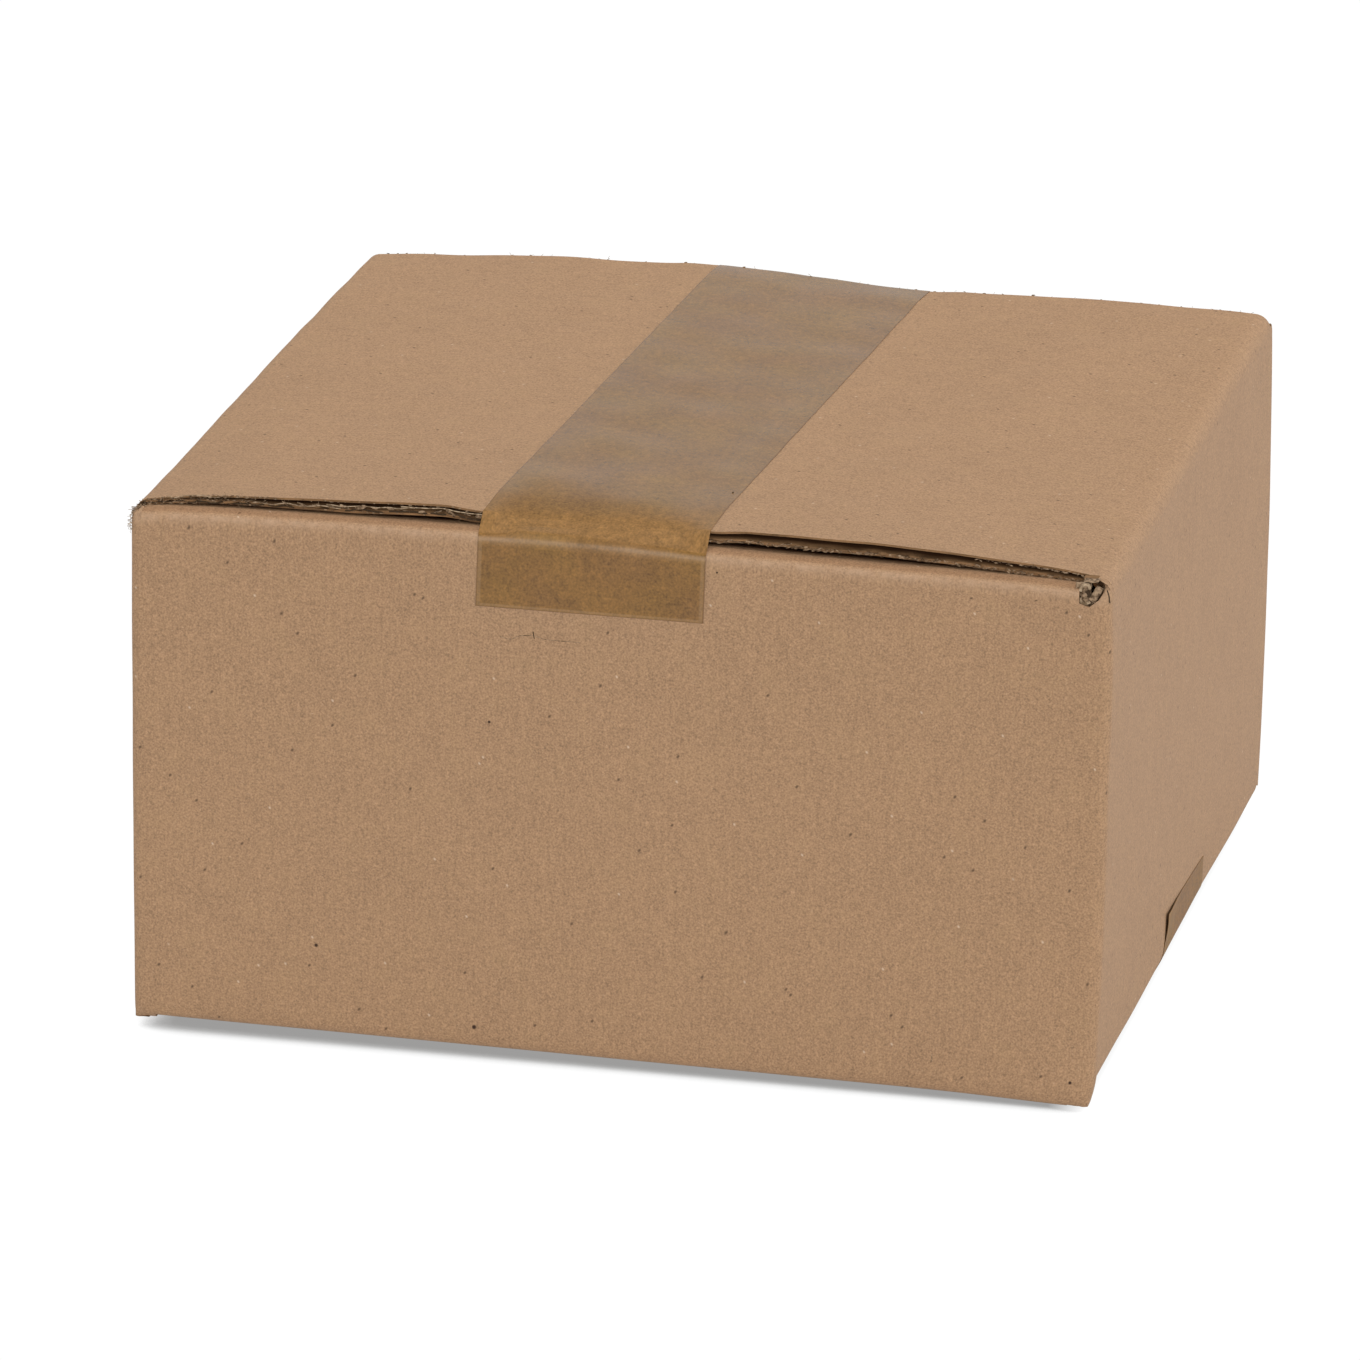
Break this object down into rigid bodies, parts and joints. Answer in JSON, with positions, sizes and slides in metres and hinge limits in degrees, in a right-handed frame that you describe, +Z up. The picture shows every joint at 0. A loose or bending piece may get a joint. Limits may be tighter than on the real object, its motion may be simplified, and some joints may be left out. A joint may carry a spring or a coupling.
{
  "type": "taped parcel",
  "caption": "Small square corrugated carton, folded shut and closed with packing tape over its top and bottom seams.",
  "frame": {"origin": "middle of the parcel's footprint, on the surface that it stands on", "axes": "+Z up, +X to the right along the front panel, +Y from the front panel to the back panel; the top tape runs along Y and the bottom tape along X"},
  "size_m": [0.2064, 0.2064, 0.1199],
  "materials": {
    "board": "plain brown kraft paper, matt and faintly ribbed by the flutes",
    "tape": "thin brown film, satin, the board shows through it"
  },
  "bodies": {
    "root": {"carton": "board", "top_tape": "tape", "bottom_tape": "tape"}
  },
  "joints": []
}
